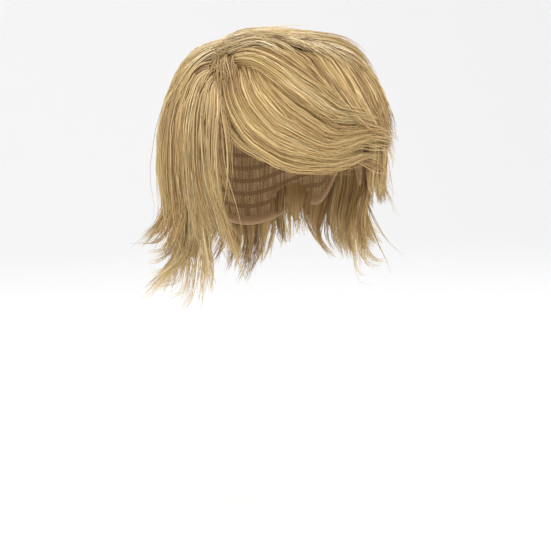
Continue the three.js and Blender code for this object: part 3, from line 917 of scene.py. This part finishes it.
# Top sweep. A thick rope of hair from the parting over the top, and beside it the hair that
# falls from under the crown's edge down to the left temple.
top_sweep = Layer("top_sweep", 7, 12, [
    way([-70, -50, -33, -20, -7, 10, 50], [0.46, 0.47, 0.51, 0.61, 0.73, 0.84, 0.95],
        [0, 0.26, 0.44, 0.56, 0.64, 0.74, 0.94]),
    way([-76, -48, -26, -10, 2, 18, 52], [0.41, 0.36, 0.42, 0.53, 0.66, 0.8, 0.94],
        [0, 0.34, 0.5, 0.6, 0.66, 0.76, 0.94]),
    way([-28, -12, -1, 6, 14, 28, 54], [0.28, 0.38, 0.51, 0.64, 0.76, 0.87, 0.95],
        [0, 0.44, 0.54, 0.6, 0.66, 0.74, 0.92]),
    way([2, 9, 12, 16, 22, 34, 56], [0.31, 0.43, 0.56, 0.69, 0.8, 0.89, 0.97],
        [0, 0.46, 0.54, 0.6, 0.66, 0.74, 0.88]),
    way([28, 32, 35, 37, 40, 47, 62], [0.35, 0.46, 0.58, 0.7, 0.81, 0.91, 0.99],
        [0, 0.5, 0.6, 0.66, 0.7, 0.76, 0.84]),
    way([64, 66, 67, 68, 70, 73, 78], [0.42, 0.52, 0.63, 0.73, 0.83, 0.92, 1],
        [0, 0.52, 0.62, 0.68, 0.72, 0.76, 0.82]),
])
dress(top_sweep, strands=20, points=14, bunches=7, width=0.00088, gather=0.35, wander=0.012,
      flick=-0.002, puff=0.004, fill=0.3, mottle=0.1, scatter=0.34, root_reach=0.12, tone=0.41,
      far_side_shade=-0.12, wisps=[
    # Darker hair under the edge of the crown: partly dark roots, partly painted shade under the edge.
    wisp(30, 0.012, -0.2, [-14, -8, -3, 2], [0.2, 0.27, 0.35, 0.44], [0.3, 0.46, 0.52, 0.56]),
    wisp(30, 0.012, -0.2, [2, 7, 11, 14], [0.22, 0.29, 0.37, 0.46], [0.32, 0.48, 0.54, 0.58]),
    wisp(30, 0.012, -0.2, [18, 21, 23, 25], [0.24, 0.32, 0.4, 0.5], [0.34, 0.5, 0.56, 0.6]),
    wisp(30, 0.012, -0.2, [34, 35, 36, 38], [0.28, 0.36, 0.45, 0.55], [0.4, 0.56, 0.62, 0.66]),
])


# Crown hair. The shortest, outermost layer. It turns round the whorl behind the parting, and
# covers the crown, the left side and the back.
crown_hair = Layer("crown_hair", 8, 16, [
    way([-82, -50, 4, 37, 66], [0.37, 0.28, 0.32, 0.44, 0.65], [0.1, 0.42, 0.56, 0.74, 0.9]),
    way([-100, -150, 98, 98, 102], [0.27, 0.08, 0.2, 0.48, 0.8], [0, 0.34, 0.5, 0.75, 0.85]),
    way([-112, -175, 165, 150, 142], [0.2, 0.2, 0.36, 0.62, 0.94], [0, 0.42, 0.6, 0.75, 0.78]),
    way([-118, -170, 178, 176, 176], [0.17, 0.25, 0.45, 0.7, 1], [0, 0.45, 0.65, 0.78, 0.8]),
    way([-126, -147, -140, -134, -131], [0.16, 0.34, 0.56, 0.8, 1.04], [0, 0.52, 0.68, 0.8, 0.84]),
])
# The crown's fibre is paler and greyer than the other layers': partly ash fibre, partly painted sheen
# where the top of the head catches the light.
dress(crown_hair, strands=19, points=14, bunches=6, width=0.0009, wander=0.006, puff=0.004,
      root_reach=0.06, tip_tone=-0.06, flick=-0.004, fill=0.5, mottle=0.09, tone=0.69,
      warmth=0.82, wisps=[
    # Hair over the gap beside the right side's roots.
    wisp(30, 0.01, -0.05, [-128, -141, -138, -132], [0.2, 0.36, 0.54, 0.76], [0.4, 0.66, 0.72, 0.74]),
    wisp(30, 0.01, -0.05, [-126, -134, -130, -124], [0.18, 0.34, 0.52, 0.74], [0.4, 0.64, 0.7, 0.72]),
    # Hair under the crown's front edge.
    wisp(30, 0.008, -0.12, [-12, 0, 9, 17], [0.24, 0.27, 0.31, 0.37], [0.5, 0.62, 0.66, 0.66]),
    wisp(30, 0.008, -0.12, [0, 10, 18, 25], [0.26, 0.3, 0.35, 0.42], [0.52, 0.64, 0.7, 0.7]),
    # Strands that cross the end of the parting and turn round the whorl.
    wisp(30, 0.01, 0.08, [-112, -116, -120, 180, 90, 95], [0.4, 0.28, 0.14, 0.02, 0.12, 0.25],
         [0.3, 0.5, 0.58, 0.56, 0.58, 0.6]),
    wisp(30, 0.009, 0.08, [-104, -104, -86, -32, 12, 30], [0.4, 0.3, 0.18, 0.14, 0.18, 0.28],
         [0.3, 0.5, 0.64, 0.66, 0.7, 0.76]),
    wisp(26, 0.007, 0.1, [-97, -95, -72, -38, -12, 9], [0.4, 0.31, 0.22, 0.21, 0.24, 0.3],
         [0.3, 0.52, 0.68, 0.72, 0.76, 0.8]),
    wisp(24, 0.006, 0.1, [-89, -84, -64, -40, -18, 2], [0.42, 0.34, 0.27, 0.24, 0.27, 0.36],
         [0.3, 0.54, 0.7, 0.74, 0.78, 0.82]),
    wisp(24, 0.006, 0.06, [-82, -76, -60, -42, -25, -6], [0.44, 0.37, 0.31, 0.28, 0.31, 0.42],
         [0.3, 0.52, 0.66, 0.7, 0.74, 0.78]),
    # Pale hair over the right side's roots.
    wisp(26, 0.009, 0.1, [-100, -106, -110, -110], [0.16, 0.36, 0.54, 0.7], [0.4, 0.66, 0.76, 0.78]),
    wisp(26, 0.009, 0.1, [-84, -94, -98, -99], [0.2, 0.38, 0.56, 0.74], [0.42, 0.67, 0.78, 0.8]),
    wisp(26, 0.008, 0.05, [-72, -82, -87, -90], [0.28, 0.42, 0.58, 0.76], [0.46, 0.66, 0.76, 0.78]),
    # Hair that closes the whorl.
    wisp(30, 0.008, -0.16, [-90, -80, -70, -60], [0.46, 0.43, 0.41, 0.39], [0.34, 0.5, 0.52, 0.5]),
    wisp(30, 0.008, -0.06, [-94, -85, -75, -62], [0.43, 0.39, 0.36, 0.33], [0.52, 0.62, 0.64, 0.64]),
    wisp(30, 0.008, -0.06, [-80, -70, -60, -48], [0.42, 0.38, 0.34, 0.32], [0.48, 0.58, 0.62, 0.64]),
    wisp(30, 0.008, -0.06, [-64, -51, -38, -25], [0.36, 0.32, 0.3, 0.32], [0.5, 0.6, 0.64, 0.66]),
    # Dark streaks between the locks of the front edge: partly darker fibre, partly painted shade
    # between the locks.
    wisp(26, 0.006, -0.46, [-28, -20, -12, -3], [0.26, 0.28, 0.31, 0.36], [0.55, 0.72, 0.76, 0.72]),
    wisp(26, 0.006, -0.46, [0, 7, 13, 20], [0.29, 0.33, 0.38, 0.45], [0.62, 0.76, 0.8, 0.76]),
    wisp(26, 0.006, -0.46, [11, 18, 24, 30], [0.34, 0.39, 0.45, 0.53], [0.64, 0.79, 0.83, 0.79]),
    wisp(26, 0.007, -0.46, [24, 31, 38, 46], [0.39, 0.44, 0.5, 0.58], [0.68, 0.82, 0.86, 0.82]),
    # Pale pointed ends over the sweep.
    wisp(18, 0.004, 0.12, [-56, -38, -20, -7], [0.29, 0.31, 0.38, 0.49], [0.4, 0.66, 0.78, 0.84]),
    wisp(12, 0.003, 0.12, [-46, -26, -12, -2], [0.27, 0.29, 0.37, 0.47], [0.44, 0.68, 0.8, 0.84]),
    wisp(18, 0.004, 0.12, [-34, -12, 3, 11], [0.26, 0.29, 0.38, 0.5], [0.48, 0.72, 0.82, 0.86]),
    wisp(12, 0.003, 0.12, [-22, -2, 10, 19], [0.27, 0.32, 0.42, 0.54], [0.5, 0.74, 0.84, 0.88]),
    wisp(18, 0.004, 0.12, [-10, 10, 20, 29], [0.29, 0.36, 0.47, 0.61], [0.54, 0.78, 0.86, 0.88]),
    wisp(12, 0.003, 0.12, [0, 19, 31, 40], [0.31, 0.39, 0.5, 0.64], [0.58, 0.8, 0.88, 0.9]),
    wisp(18, 0.005, 0.12, [10, 28, 42, 54], [0.33, 0.42, 0.54, 0.7], [0.62, 0.84, 0.92, 0.92]),
])


# Studio. A plain pale floor and backdrop, soft frontal light, and the camera at the photo's angle.
floor_level = -0.44
azimuth = math.radians(-17)
elevation = math.radians(8)
away = Vector((
    -math.sin(azimuth) * math.cos(elevation), math.cos(azimuth) * math.cos(elevation),
    -math.sin(elevation),
))
right = Vector((math.cos(azimuth), math.sin(azimuth), 0))
up = right.cross(away)
aim_right = 0.0014  # the middle of the photo, from the top of the head
aim_up = -0.2056
target = right * aim_right + up * aim_up
distance = 1.6
frame_width = 0.507
floor_front = -6
floor_half_width = 12
bend_radius = 2  # where the floor rises into the backdrop
backdrop_top = 8

floor_material, floor_shader, floor_start = plain_material("pale floor", 0.9)
floor_shader.inputs["Base Color"].default_value = (0.94, 0.94, 0.94, 1)
profile = [(floor_front, 0)]
for a in range(0, 91, 6):
    bend = math.radians(a)
    profile.append((bend_radius * (1 + math.sin(bend)), bend_radius * (1 - math.cos(bend))))
profile.append((2 * bend_radius, backdrop_top))
floor = shown_mesh(
    "floor",
    [(side * floor_half_width, y, floor_level + z) for y, z in profile for side in (-1, 1)],
    [[2 * i, 2 * i + 1, 2 * i + 3, 2 * i + 2] for i in range(len(profile) - 1)],
    floor_material,
)

world = bpy.data.worlds.new("studio")
bpy.context.scene.world = world
world.use_nodes = True
world.node_tree.nodes["Background"].inputs["Color"].default_value = (1, 1, 1, 1)
world.node_tree.nodes["Background"].inputs["Strength"].default_value = 0.85


def soft_light(name, place, size, watts):
    light = bpy.data.lights.new(name, "AREA")
    light.size = size
    light.energy = watts
    lamp = bpy.data.objects.new(name, light)
    lamp.location = place
    lamp.rotation_euler = (target - Vector(place)).to_track_quat("-Z", "Y").to_euler()
    bpy.context.collection.objects.link(lamp)


soft_light("key light", (-0.7, -1.6, 0.9), 0.8, 20)
soft_light("fill light", (1.5, -1.2, 0.5), 1.2, 9)
soft_light("top light", (0.1, -0.2, 1.5), 0.9, 12)

sensor_width = 36
camera_data = bpy.data.cameras.new("camera")
camera_data.sensor_width = sensor_width
camera_data.lens = sensor_width * distance / frame_width
camera = bpy.data.objects.new("camera", camera_data)
camera.location = target - away * distance
camera.rotation_euler = away.to_track_quat("-Z", "Y").to_euler()
bpy.context.collection.objects.link(camera)
bpy.context.scene.camera = camera
bpy.context.scene.view_settings.view_transform = "Standard"
